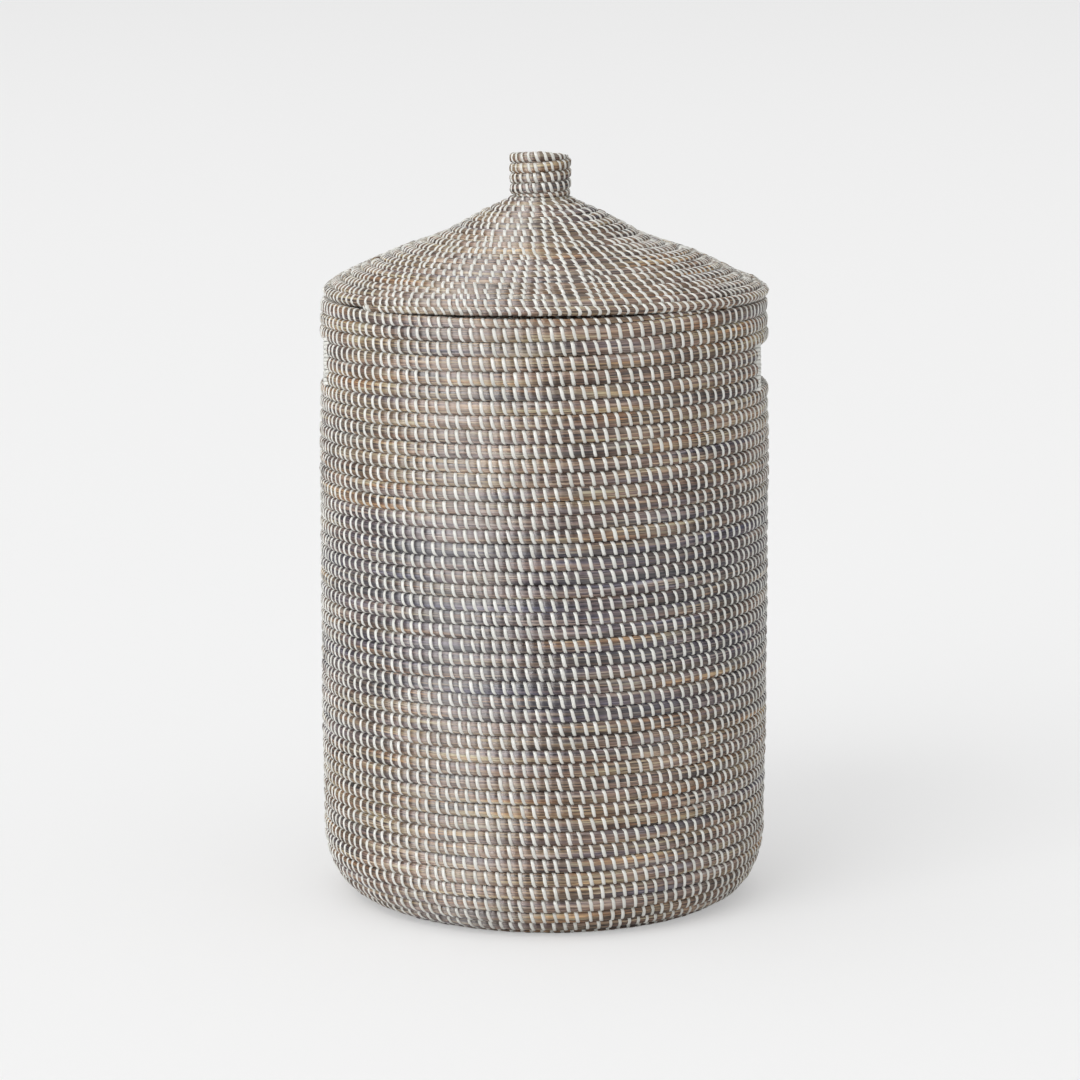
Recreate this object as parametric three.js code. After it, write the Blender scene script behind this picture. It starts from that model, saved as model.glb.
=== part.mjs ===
// A lidded hamper sewn from coiled seagrass rope. One coil runs from the middle of the base, round the bottom edge and
// up the wall to a level rim, and a hand-hole on each side cuts it into lengths whose ends are bound. The lid is a
// second coil, wound the other way: a low cone with a knob on top and a ring below that drops into the mouth. It lifts
// straight off.
// Millimetres, +Z up. The origin is on the floor under the middle of the base, and the front faces -Y.
import * as THREE from "three";

// Basket
const BASKET_DIAMETER = 445; // over the crests of the wall's courses
const BASKET_HEIGHT = 600; // floor to the level top of the rim
const CORNER_REACH = 50; // how far the rounded bottom edge draws in from the wall
const CORNER_RISE = 70; // how high the rounded bottom edge climbs
const WALL_ROPE_THICKNESS = 12.8; // between the flats that bear on the neighbouring courses
const WALL_ROPE_DEPTH = 15; // through the wall, crest to crest
const WALL_ROPE_FLAT = 7; // width of those flats
const FOOT_CUT = 1.4; // how much the base courses are flattened where they stand
const FOOT_WIDTH = 7.5; // width of that flattened strip

// Hand-holes
const HOLE_WIDTH = 111; // clear width between the bound edges
const HOLE_COURSE_COUNT = 3; // courses that each hole interrupts
const ABOVE_HOLE_COURSE_COUNT = 3; // courses from the top of a hole to the rim
const BINDING_WIDTH = 7; // how far the cord binding stands out from the rope ends

// Lid
const LID_INSET = 2; // the lid's edge within the basket's wall
const LID_SLOPE = 24.2; // degrees from level
const LID_EDGE_SLOPE = 45; // degrees from level, at the last course
const LID_EDGE_RADIUS = 50; // outside of the bend between the two slopes
const LID_ROPE_THICKNESS = 10.6;
const LID_ROPE_DEPTH = 12.5;
const LID_ROPE_FLAT = 6;
const KNOB_DIAMETER = 62;
const KNOB_HEIGHT = 40;
const KNOB_ROPE_THICKNESS = 9.4;
const RING_CLEARANCE = 4; // between the ring and the mouth
const RING_DROP = 12; // how far the ring reaches below the rim
const RING_COURSE_COUNT = 2;

// Coiling and fits
const COURSE_GAP = 0.6; // between one course and the next
const ROPE_END = 2.4; // thickness that a rope tapers to at its end
const SEAT_GAP = 0.35; // between pieces that bear on each other
const RIM_END_AZIMUTH = 324; // degrees, where the basket's coil ends
const LID_END_AZIMUTH = 216; // degrees, where the lid's coil ends
const STEPS = 20; // facets in one turn of the basket and the lid
const KNOB_STEPS = 10; // facets in one turn of the knob
const BINDING_STEPS = 6; // facets round a bound edge

const TURN = 2 * Math.PI;
const seagrass = new THREE.MeshStandardMaterial({ color: 0x8a7560, roughness: 0.8, metalness: 0 });
const seagrassPale = new THREE.MeshStandardMaterial({ color: 0x9a8468, roughness: 0.8, metalness: 0 });
const whiteCord = new THREE.MeshStandardMaterial({ color: 0xe6e5dd, roughness: 0.45, metalness: 0 });

// Outline of a rope. u runs along the seam line towards the next course, and v away from the seam line to the outside.
// The seam line is where the inner edges of neighbouring flats meet.
function ropeOutline(thickness, depth, flat) {
  const half = thickness / 2;
  return [
    [0, (flat + depth) / 2],
    [half, flat],
    [half, 0],
    [0, (flat - depth) / 2],
    [-half, 0],
    [-half, flat],
  ];
}

// Outline of a base course: the same inner crest, with a flat foot outside instead of a crest.
function footedOutline(thickness, depth, flat, footCut, footWidth) {
  const foot = (flat + depth) / 2 - footCut;
  return [
    [footWidth / 2, foot],
    [thickness / 2, 0],
    [0, (flat - depth) / 2],
    [-thickness / 2, 0],
    [-footWidth / 2, foot],
  ];
}

// A coil of rope laid course on course along a seam line in the (radius, height) half-plane.
class Coil {
  // side is 1 where the outside lies to the right of the seam line, and -1 to the left. The coil's last course ends at
  // fullAt, a distance along the seam line, and beyond it the rope tapers, so that its free edge stays level. way is 1
  // where the turns go anticlockwise from above, and -1 where they go clockwise.
  constructor({ seam, side, way = 1, thickness, outline, fullAt, endTurn, steps }) {
    Object.assign(this, { seam, side, way, thickness, outline, endTurn, steps });
    this.seamLength = seam.getLength();
    this.pitch = thickness + COURSE_GAP;
    this.taperTurns = (thickness - ROPE_END) / this.pitch;
    this.fullTurn = endTurn - this.taperTurns;
    this.zeroAt = fullAt - this.pitch * this.fullTurn;
  }

  // The turn, on the facet grid, at or after which the rope's middle lies this far along the seam line.
  turnAt(distance) {
    return Math.ceil(((distance - this.zeroAt) / this.pitch) * this.steps) / this.steps;
  }

  // The rope slims towards the coil's end, keeping its side next to the course before, and towards startTurn, if the
  // coil has a free start, keeping its side next to the course after. It slims less through the wall.
  outlineAt(turn) {
    const slimming = this.pitch / this.thickness;
    const fromEnd = Math.max(0, turn - this.fullTurn) * slimming;
    const sinceStart = (turn - (this.startTurn ?? -Infinity)) * slimming + ROPE_END / this.thickness;
    const fullness = Math.min(1 - fromEnd, sinceStart, 1);
    const keep = ((fromEnd > 0 ? -1 : 1) * this.thickness) / 2;
    const values = this.outline.map(([, v]) => v);
    const middle = (Math.min(...values) + Math.max(...values)) / 2;
    const depth = Math.sqrt(fullness);
    return this.outline.map(([u, v]) => [keep + (u - keep) * fullness, middle + (v - middle) * depth]);
  }

  // The rope's outline in space at a turn, pressed flat where it would reach below the floor.
  ring(turn) {
    const share = (this.zeroAt + this.pitch * turn) / this.seamLength;
    const point = this.seam.getPoint(share);
    const along = this.seam.getTangent(share);
    const outward = new THREE.Vector2(along.y, -along.x).multiplyScalar(this.side);
    const angle = this.way * TURN * turn;
    return this.outlineAt(turn).map(([u, v]) => {
      const at = point.clone().addScaledVector(along, u).addScaledVector(outward, v);
      return new THREE.Vector3(at.x * Math.cos(angle), at.x * Math.sin(angle), Math.max(at.y, 0));
    });
  }

  // The outlines from one turn to another, at each step of the facet grid between them.
  rings(from, to) {
    const turns = [from];
    const last = Math.ceil(to * this.steps - 1e-6);
    for (let step = Math.floor(from * this.steps + 1e-6) + 1; step < last; step += 1) turns.push(step / this.steps);
    turns.push(to);
    return turns.map((turn) => this.ring(turn));
  }

  // Height of the rope's middle at a turn, on an upright stretch of the seam line.
  heightAt(turn) {
    return this.seam.getPoint((this.zeroAt + this.pitch * turn) / this.seamLength).y;
  }

  // The least gap between one course and the next, measured on outlines at and halfway between the facet grid's steps.
  leastGap(from, to) {
    let least = Infinity;
    const first = Math.ceil(from * this.steps);
    for (let step = first; (step + 1) / this.steps + 1 <= to; step += 1) {
      const here = [step, step + 1].map((s) => this.ring(s / this.steps));
      const next = [step, step + 1].map((s) => this.ring(s / this.steps + 1));
      const halfway = ([a, b]) => a.map((p, i) => p.clone().lerp(b[i], 0.5));
      least = Math.min(least, outlineGap(here[0], next[0]), outlineGap(halfway(here), halfway(next)));
    }
    return least;
  }
}

// The least distance between two outlines in one plane, from the corners of each to the edges of the other.
function outlineGap(one, other) {
  const near = new THREE.Vector3();
  const cornersToEdges = (corners, edges) =>
    Math.min(
      ...edges.flatMap((start, i) => {
        const edge = new THREE.Line3(start, edges[(i + 1) % edges.length]);
        return corners.map((corner) => edge.closestPointToPoint(corner, true, near).distanceTo(corner));
      }),
    );
  return Math.min(cornersToEdges(one, other), cornersToEdges(other, one));
}

// A closed skin over a row of outlines, with a flat cap on each end.
function sweep(rings, side) {
  const corners = rings[0].length;
  const faces = [];
  for (let ring = 0; ring + 1 < rings.length; ring += 1) {
    for (let corner = 0; corner < corners; corner += 1) {
      const a = ring * corners + corner;
      const b = ring * corners + ((corner + 1) % corners);
      faces.push([a, b, a + corners], [b, b + corners, a + corners]);
    }
  }
  const end = (rings.length - 1) * corners;
  for (let corner = 1; corner + 1 < corners; corner += 1) {
    faces.push([0, corner + 1, corner], [end, end + corner, end + corner + 1]);
  }
  const index = faces.flatMap(([a, b, c]) => (side > 0 ? [a, c, b] : [a, b, c]));
  const positions = rings.flat().flatMap((point) => point.toArray());
  return new THREE.BufferGeometry()
    .setAttribute("position", new THREE.Float32BufferAttribute(positions, 3))
    .setIndex(index);
}

function named(name, geometry, material) {
  const mesh = new THREE.Mesh(geometry, material);
  mesh.name = name;
  return mesh;
}

// A named length of a coil. It prints the least gap between the length's own courses.
function coilLength(name, coil, from, to, material) {
  const gap = coil.leastGap(from, to);
  if (Number.isFinite(gap)) console.log(`${name}: least gap between courses ${gap.toFixed(2)} mm`);
  return named(name, sweep(coil.rings(from, to), coil.side * coil.way), material);
}

// Basket: one seam line along the base, round the corner and up the wall
const wallCrest = (WALL_ROPE_FLAT + WALL_ROPE_DEPTH) / 2; // seam line to outer crest
const wallSeamRadius = BASKET_DIAMETER / 2 - wallCrest;
const wallMiddleRadius = BASKET_DIAMETER / 2 - WALL_ROPE_DEPTH / 2;
const mouthRadius = BASKET_DIAMETER / 2 - WALL_ROPE_DEPTH;
const baseSeamHeight = wallCrest - FOOT_CUT;
const cornerReach = CORNER_REACH - wallCrest;
const cornerRise = CORNER_RISE - baseSeamHeight;
const baseSeamRadius = wallSeamRadius - cornerReach;
const wallPitch = WALL_ROPE_THICKNESS + COURSE_GAP;

const basketSeam = new THREE.Path()
  .moveTo(0, baseSeamHeight)
  .lineTo(baseSeamRadius, baseSeamHeight)
  .absellipse(baseSeamRadius, CORNER_RISE, cornerReach, cornerRise, -Math.PI / 2, 0)
  .lineTo(wallSeamRadius, BASKET_HEIGHT + wallPitch);
const rimFullAt = basketSeam.getLength() - wallPitch - WALL_ROPE_THICKNESS / 2;
const rimEndTurn = Math.floor(rimFullAt / wallPitch) + RIM_END_AZIMUTH / 360;

const wallCoil = new Coil({
  seam: basketSeam,
  side: 1,
  thickness: WALL_ROPE_THICKNESS,
  outline: ropeOutline(WALL_ROPE_THICKNESS, WALL_ROPE_DEPTH, WALL_ROPE_FLAT),
  fullAt: rimFullAt,
  endTurn: rimEndTurn,
  steps: STEPS,
});
const baseCoil = new Coil({
  ...wallCoil,
  outline: footedOutline(WALL_ROPE_THICKNESS, WALL_ROPE_DEPTH, WALL_ROPE_FLAT, FOOT_CUT, FOOT_WIDTH),
  fullAt: rimFullAt,
});
baseCoil.startTurn = baseCoil.turnAt(0);

// Hand-holes: the right one is at whole turns, on +X, and the left one at half turns
const holeHalfTurn = Math.asin((HOLE_WIDTH / 2 + BINDING_WIDTH) / wallMiddleRadius) / TURN;
const seatTurn = SEAT_GAP / wallMiddleRadius / TURN;
const firstCut = Math.floor(rimEndTurn) - ABOVE_HOLE_COURSE_COUNT - HOLE_COURSE_COUNT + 1;

function basketCoil() {
  const baseEnd = wallCoil.turnAt(baseSeamRadius) - 1 / STEPS;
  const baseSeatTurn = SEAT_GAP / baseSeamRadius / TURN;
  const lengths = [
    coilLength("base_coil", baseCoil, baseCoil.startTurn, baseEnd, seagrass),
    coilLength("wall_coil", wallCoil, baseEnd + baseSeatTurn, firstCut - holeHalfTurn, seagrass),
  ];
  const cuts = 2 * HOLE_COURSE_COUNT;
  for (let cut = 0; cut + 1 < cuts; cut += 1) {
    const name = `${cut % 2 ? "front" : "rear"}_course_${Math.floor(cut / 2) + 1}`;
    const from = firstCut + cut / 2 + holeHalfTurn;
    lengths.push(coilLength(name, wallCoil, from, from + 0.5 - 2 * holeHalfTurn, seagrass));
  }
  const rimStart = firstCut + (cuts - 1) / 2 + holeHalfTurn;
  lengths.push(coilLength("rim_coil", wallCoil, rimStart, rimEndTurn, seagrass));
  return lengths;
}

// A cord-bound edge of a hand-hole: a D-shaped upright whose flat back meets the rope ends. way is 1 for the edge
// after the hole's middle, going round with the coil, and -1 for the edge before it.
function holeBinding(name, middleTurn, way) {
  const turn = way * (holeHalfTurn - seatTurn);
  const below = wallCoil.heightAt(middleTurn - 1 + turn) + WALL_ROPE_THICKNESS / 2 + SEAT_GAP;
  const above = wallCoil.heightAt(middleTurn + HOLE_COURSE_COUNT + turn) - WALL_ROPE_THICKNESS / 2 - SEAT_GAP;
  const section = new THREE.Shape();
  const start = way > 0 ? Math.PI : 0;
  section.absellipse(0, 0, WALL_ROPE_DEPTH / 2, BINDING_WIDTH, start, start + Math.PI);
  section.closePath();
  const geometry = new THREE.ExtrudeGeometry(section, {
    depth: above - below,
    bevelEnabled: false,
    curveSegments: BINDING_STEPS,
  });
  const binding = named(name, geometry, whiteCord);
  binding.position.set(wallMiddleRadius, 0, below);
  const atHole = new THREE.Group();
  atHole.rotation.z = TURN * (middleTurn + turn);
  return atHole.add(binding);
}

// Lid: a cone that bends down at its edge, so that the lower corner of its last course stands on the rim
const lidSeat = BASKET_HEIGHT + SEAT_GAP;
const lidCrest = (LID_ROPE_FLAT + LID_ROPE_DEPTH) / 2; // seam line to outer crest
const lidPitch = LID_ROPE_THICKNESS + COURSE_GAP;
const lidSlope = THREE.MathUtils.degToRad(LID_SLOPE);
const edgeSlope = THREE.MathUtils.degToRad(LID_EDGE_SLOPE);
const upFrom = (slope) => new THREE.Vector2(Math.sin(slope), Math.cos(slope)); // square to a slope
const downAlong = (slope) => new THREE.Vector2(Math.cos(slope), -Math.sin(slope));
const edgeRadius = LID_EDGE_RADIUS - lidCrest;
const edge = new THREE.Vector2(
  BASKET_DIAMETER / 2 - LID_INSET - lidCrest * Math.sin(edgeSlope),
  lidSeat + (LID_ROPE_THICKNESS / 2) * Math.sin(edgeSlope),
);
const bendMiddle = edge.clone().addScaledVector(upFrom(edgeSlope), -edgeRadius);
const coneEnd = bendMiddle.clone().addScaledVector(upFrom(lidSlope), edgeRadius);
const lidSeamEnd = edge.clone().addScaledVector(downAlong(edgeSlope), lidPitch);
const knobSeamRadius = KNOB_DIAMETER / 2 - lidCrest;
const coneStartRadius = knobSeamRadius - lidPitch; // the first full course carries the knob
const coneStart = new THREE.Vector2(coneStartRadius, coneEnd.y + (coneEnd.x - coneStartRadius) * Math.tan(lidSlope));

const lidSeam = new THREE.Path()
  .moveTo(coneStart.x, coneStart.y)
  .lineTo(coneEnd.x, coneEnd.y)
  .absarc(bendMiddle.x, bendMiddle.y, edgeRadius, Math.PI / 2 - lidSlope, Math.PI / 2 - edgeSlope, true)
  .lineTo(lidSeamEnd.x, lidSeamEnd.y);
const lidFullAt = lidSeam.getLength() - lidPitch;
const lidEndTurn = Math.floor(lidFullAt / lidPitch) + 1 - LID_END_AZIMUTH / 360;
const lidOutline = ropeOutline(LID_ROPE_THICKNESS, LID_ROPE_DEPTH, LID_ROPE_FLAT);

const lidCoil = new Coil({
  seam: lidSeam,
  side: -1,
  way: -1,
  thickness: LID_ROPE_THICKNESS,
  outline: lidOutline,
  fullAt: lidFullAt,
  endTurn: lidEndTurn,
  steps: STEPS,
});
lidCoil.startTurn = lidCoil.turnAt(0);
const lidPoints = lidCoil.rings(lidCoil.startTurn, lidEndTurn).flat();

// Heights of the lid coil's corners over or under a flat that starts at this radius.
function lidHeightsAt(flatRadius) {
  const radiusOf = (point) => Math.hypot(point.x, point.y);
  const onFlat = (point) => radiusOf(point) >= flatRadius && radiusOf(point) <= flatRadius + LID_ROPE_FLAT;
  return lidPoints.filter(onFlat).map((point) => point.z);
}

// Knob: an upright coil on the cone's first courses, closed by a small flat coil inside its top
const knobFoot = Math.max(...lidHeightsAt(knobSeamRadius)) + SEAT_GAP;
const knobTop = knobFoot + KNOB_HEIGHT;

function knob() {
  const pitch = KNOB_ROPE_THICKNESS + COURSE_GAP;
  const coil = new Coil({
    seam: new THREE.Path().moveTo(knobSeamRadius, knobFoot - pitch).lineTo(knobSeamRadius, knobTop + pitch),
    side: 1,
    thickness: KNOB_ROPE_THICKNESS,
    outline: ropeOutline(KNOB_ROPE_THICKNESS, LID_ROPE_DEPTH, LID_ROPE_FLAT),
    fullAt: pitch + KNOB_HEIGHT - KNOB_ROPE_THICKNESS / 2,
    endTurn: Math.ceil(KNOB_HEIGHT / pitch),
    steps: KNOB_STEPS,
  });
  coil.startTurn = (pitch + ROPE_END - KNOB_ROPE_THICKNESS / 2 - coil.zeroAt) / pitch;
  return coilLength("knob_coil", coil, coil.startTurn, coil.endTurn, seagrassPale);
}

function knobCap() {
  const capRadius = KNOB_DIAMETER / 2 - LID_ROPE_DEPTH - SEAT_GAP;
  const middle = knobTop - lidCrest;
  const coil = new Coil({
    seam: new THREE.Path().moveTo(0, middle).lineTo(capRadius + lidPitch, middle),
    side: -1,
    way: -1,
    thickness: LID_ROPE_THICKNESS,
    outline: lidOutline,
    fullAt: capRadius - LID_ROPE_THICKNESS / 2,
    endTurn: Math.ceil(capRadius / lidPitch),
    steps: KNOB_STEPS,
  });
  coil.startTurn = coil.turnAt(0);
  return coilLength("knob_cap", coil, coil.startTurn, coil.endTurn, seagrassPale);
}

// Ring: a hoop of rope courses under the cone, inside the mouth
function lidRing() {
  const outer = mouthRadius - RING_CLEARANCE;
  const inner = outer - LID_ROPE_DEPTH;
  const valley = (LID_ROPE_DEPTH - LID_ROPE_FLAT) / 2;
  const top = Math.min(...lidHeightsAt(inner + valley)) - SEAT_GAP;
  const bottom = BASKET_HEIGHT - RING_DROP;
  const course = (top - bottom) / RING_COURSE_COUNT;
  const profile = [];
  for (let i = 0; i < RING_COURSE_COUNT; i += 1) {
    profile.push([outer - valley, bottom + i * course], [outer, bottom + (i + 0.5) * course]);
  }
  profile.push([outer - valley, top], [inner + valley, top]);
  for (let i = RING_COURSE_COUNT - 1; i >= 0; i -= 1) {
    profile.push([inner, bottom + (i + 0.5) * course], [inner + valley, bottom + i * course]);
  }
  profile.push(profile[0]);
  const points = profile.map(([radius, height]) => new THREE.Vector2(radius, height));
  const geometry = new THREE.LatheGeometry(points, STEPS).rotateX(Math.PI / 2);
  return named("lid_ring", geometry, seagrassPale);
}

const basket = new THREE.Group().add(
  ...basketCoil(),
  holeBinding("right_rear_binding", firstCut, 1),
  holeBinding("right_front_binding", firstCut, -1),
  holeBinding("left_front_binding", firstCut + 0.5, 1),
  holeBinding("left_rear_binding", firstCut + 0.5, -1),
);
const lid = new THREE.Group().add(
  coilLength("lid_coil", lidCoil, lidCoil.startTurn, lidEndTurn, seagrass),
  knob(),
  knobCap(),
  lidRing(),
);

export default new THREE.Group().add(basket, lid);
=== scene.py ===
"""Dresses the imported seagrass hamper: coiled rope, white cord stitching, bound hand-holes and a lid."""

import logging
import math
from collections.abc import Callable, Sequence
from dataclasses import dataclass, field
from enum import Enum
from functools import cached_property
from typing import ClassVar

import bpy
import numpy as np
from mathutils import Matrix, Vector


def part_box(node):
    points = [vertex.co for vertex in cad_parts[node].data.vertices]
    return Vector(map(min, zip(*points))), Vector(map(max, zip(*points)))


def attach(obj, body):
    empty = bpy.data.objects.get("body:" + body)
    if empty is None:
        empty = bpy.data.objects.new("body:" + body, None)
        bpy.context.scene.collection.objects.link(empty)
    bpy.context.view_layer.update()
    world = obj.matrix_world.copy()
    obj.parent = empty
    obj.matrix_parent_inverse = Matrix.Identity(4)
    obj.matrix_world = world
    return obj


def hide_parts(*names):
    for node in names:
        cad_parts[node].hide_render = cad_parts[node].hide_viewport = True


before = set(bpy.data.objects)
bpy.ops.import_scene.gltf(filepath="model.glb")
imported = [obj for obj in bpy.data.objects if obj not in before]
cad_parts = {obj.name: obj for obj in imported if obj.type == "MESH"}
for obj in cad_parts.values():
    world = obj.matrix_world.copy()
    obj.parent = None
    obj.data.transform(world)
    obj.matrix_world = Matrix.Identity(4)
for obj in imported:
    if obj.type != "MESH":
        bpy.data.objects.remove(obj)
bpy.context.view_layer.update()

LOG = logging.getLogger("hamper")
TURN = 2.0 * math.pi
MM = 0.001
UP = np.array([0.0, 0.0, 1.0])
BEND_STEPS = 48
FIBRE_MAP = "fibre"
MAP_LENGTH = 60.0

RGB = tuple[float, float, float]
Pair = tuple[float, float]
Numbers = Sequence[float]
Stops = Sequence[tuple[float, RGB]]
Warp = Callable[[np.ndarray], np.ndarray]
Material = bpy.types.Material
Mesh = bpy.types.Mesh
Socket = bpy.types.NodeSocket


class Body(Enum):
    """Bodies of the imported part."""

    BASKET = "basket"
    LID = "lid"


class Slot(Enum):
    """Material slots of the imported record."""

    BASKET_ROPE = "seagrass_basket"
    LID_ROPE = "seagrass_lid"
    CORD = "white_cord"


class Way(Enum):
    """Which way a coil winds from its start, seen from above: the sign of its angle."""

    ANTICLOCKWISE = 1.0
    CLOCKWISE = -1.0


def linear(red: float, green: float, blue: float) -> RGB:
    """Linear colour, as shaders use it, of a display colour with parts from 0 to 255."""
    parts = (c / 255.0 for c in (red, green, blue))
    return tuple(c / 12.92 if c <= 0.04045 else ((c + 0.055) / 1.055) ** 2.4 for c in parts)


def straight(start: Pair, end: Pair) -> np.ndarray:
    """Sets points a millimetre apart on a straight line.

    Args:
        start: Radius and height of its first end.
        end: Radius and height of its far end, which is left out.

    Returns:
        The points, one row each.
    """
    steps = max(2, round(math.dist(start, end) / MM))
    share = np.linspace(0.0, 1.0, steps, endpoint=False)[:, None]
    return np.array(start) + share * (np.array(end) - np.array(start))


def bend(centre: Pair, radii: Pair, first: float, last: float) -> np.ndarray:
    """Points of radius and height on an ellipse, from one angle up to another, in degrees."""
    angle = np.radians(np.linspace(first, last, BEND_STEPS, endpoint=False))
    return np.stack([centre[0] + radii[0] * np.cos(angle), centre[1] + radii[1] * np.sin(angle)], -1)


def squared(angle: np.ndarray, power: float) -> tuple[np.ndarray, np.ndarray]:
    """Sines and cosines that fill a circle out towards a square, the more the lower the power."""
    sine, cosine = np.sin(angle), np.cos(angle)
    return np.sign(sine) * np.abs(sine) ** power, np.sign(cosine) * np.abs(cosine) ** power


def last_tenth(share: np.ndarray) -> np.ndarray:
    """Nothing up to nine tenths, then rising to one."""
    return np.clip(10.0 * share - 9.0, 0.0, 1.0)


def put(name: str, data: bpy.types.ID) -> bpy.types.Object:
    """Puts an object in the scene.

    Args:
        name: Its name.
        data: Its mesh, lamp or camera.

    Returns:
        The object.
    """
    made = bpy.data.objects.new(name, data)
    bpy.context.scene.collection.objects.link(made)
    return made


def tube_mesh(name: str, grid: np.ndarray, along: np.ndarray, around: np.ndarray, closed: bool) -> Mesh:
    """Skins rows of rings with faces.

    Args:
        name: Name of the mesh.
        grid: Points by tube, ring, corner and axis.
        along: Length along each tube at its rings, with one more at the end of a closed tube.
        around: Length round a ring at its corners, with one more at the end.
        closed: Whether each tube runs back into its own first ring.

    Returns:
        The closed mesh, with the lengths as its fibre map.
    """
    tubes, rings, corners = grid.shape[:3]
    spans = rings if closed else rings - 1
    tube, ring, corner = np.meshgrid(np.arange(tubes), np.arange(spans), np.arange(corners), indexing="ij")
    steps = ((0, 0), (1, 0), (1, 1), (0, 1))
    quads = [(tube * rings + (ring + i) % rings) * corners + (corner + j) % corners for i, j in steps]
    quads = np.stack(quads, -1).reshape(-1, 4)
    chart = [np.stack([along[tube, ring + i], around[corner + j]], -1) for i, j in steps]
    chart = np.stack(chart, -2).reshape(-1, 4, 2)
    points = grid.reshape(-1, 3)
    a, b, c, d = (points[quads[:, k]] for k in range(4))
    volume = np.sum(a * np.cross(b, c)) + np.sum(a * np.cross(c, d))
    if volume < 0:
        quads, chart = quads[:, ::-1], chart[:, ::-1]
    corners_flat = [quads.ravel()]
    starts = [np.arange(len(quads)) * 4]
    chart_flat = [chart.reshape(-1, 2)]
    if not closed:
        offset = len(quads) * 4
        for k in range(tubes):
            for index, flip in ((0, volume > 0), (rings - 1, volume < 0)):
                cap = (k * rings + index) * corners + np.arange(corners)
                corners_flat.append(cap if flip else cap[::-1])
                starts.append(np.array([offset]))
                chart_flat.append(np.zeros((corners, 2)))
                offset += corners
    mesh = bpy.data.meshes.new(name)
    index = np.concatenate(corners_flat)
    start = np.concatenate(starts)
    chart = np.concatenate(chart_flat)
    mesh.vertices.add(len(points))
    mesh.vertices.foreach_set("co", points.astype(np.float32).ravel())
    mesh.loops.add(len(index))
    mesh.loops.foreach_set("vertex_index", index.astype(np.int32))
    mesh.polygons.add(len(start))
    mesh.polygons.foreach_set("loop_start", start.astype(np.int32))
    mesh.update(calc_edges=True)
    mesh.uv_layers.new(name=FIBRE_MAP).data.foreach_set("uv", chart.astype(np.float32).ravel())
    mesh.polygons.foreach_set("use_smooth", np.ones(len(start), dtype=bool))
    mesh.validate()
    return mesh


def piece(mesh: Mesh, body: Body, material: Material, nodes: Sequence[str] = ()) -> None:
    """Puts a mesh in the scene as a piece of the part.

    Args:
        mesh: The finished mesh, in the part's frame.
        body: Body that it rides on.
        material: Its finish.
        nodes: CAD nodes that it stands for.
    """
    made = put(mesh.name, mesh)
    mesh.materials.append(material)
    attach(made, body.value)
    if nodes:
        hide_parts(*nodes)
    LOG.info("%s: %d faces on %s", made.name, len(mesh.polygons), body.value)


@dataclass(frozen=True)
class Profile:
    """Values at places in order, with straight lines between them."""

    places: Numbers
    values: Numbers

    def at(self, where: np.ndarray, length: float = MM, unit: float = MM) -> np.ndarray:
        """Values at some places, given what the profile's places and values are counted in."""
        return np.interp(where, np.multiply(self.places, length), np.multiply(self.values, unit))


@dataclass(frozen=True)
class Sector:
    """A stretch about the hamper's axis, in degrees from +X towards +Y."""

    middle: float
    reach: float

    def share(self, points: np.ndarray) -> np.ndarray:
        """One for points at its middle, falling smoothly to nothing at its reach."""
        off = (np.degrees(np.arctan2(points[..., 1], points[..., 0])) - self.middle + 180.0) % 360.0 - 180.0
        return 0.5 + 0.5 * np.cos(np.pi * np.clip(off / self.reach, -1.0, 1.0))


@dataclass(frozen=True)
class Grain:
    """Waves of a noise for each metre along a rope and round it, its octaves, and how strong they are."""

    along: float
    around: float
    detail: float = 1.0
    roughness: float = 0.6


class Nodes:
    """Short-hand for the nodes of one tree."""

    def __init__(self, tree: bpy.types.NodeTree) -> None:
        """Takes up a tree."""
        self.nodes = tree.nodes
        self.links = tree.links

    def feed(self, socket: Socket, value: object) -> None:
        """Links a socket to another one, or sets its value.

        Args:
            socket: The input to fill.
            value: An output of another node, a number or a colour.
        """
        if isinstance(value, Socket):
            self.links.new(value, socket)
        elif isinstance(value, tuple) and len(value) == 3 and socket.type == "RGBA":
            socket.default_value = (*value, 1.0)
        else:
            socket.default_value = value

    def node(self, kind: str, inputs: dict[str | int, object], **settings: object) -> bpy.types.Node:
        """Adds a node.

        Args:
            kind: Type name of the node.
            inputs: What each input gets, by name or number.
            **settings: Properties of the node.

        Returns:
            The new node.
        """
        made = self.nodes.new(kind)
        for key, value in settings.items():
            setattr(made, key, value)
        for key, value in inputs.items():
            self.feed(made.inputs[key], value)
        return made

    def maths(self, operation: str, first: object, second: object, clamp: bool = False) -> Socket:
        """Combines two numbers or outputs, and holds the result between 0 and 1 if asked."""
        inputs = {0: first, 1: second}
        return self.node("ShaderNodeMath", inputs, operation=operation, use_clamp=clamp).outputs[0]

    def seen(self) -> Socket:
        """One where the camera looks straight at something, and nothing elsewhere."""
        return self.node("ShaderNodeLightPath", {}).outputs["Is Camera Ray"]


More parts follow.
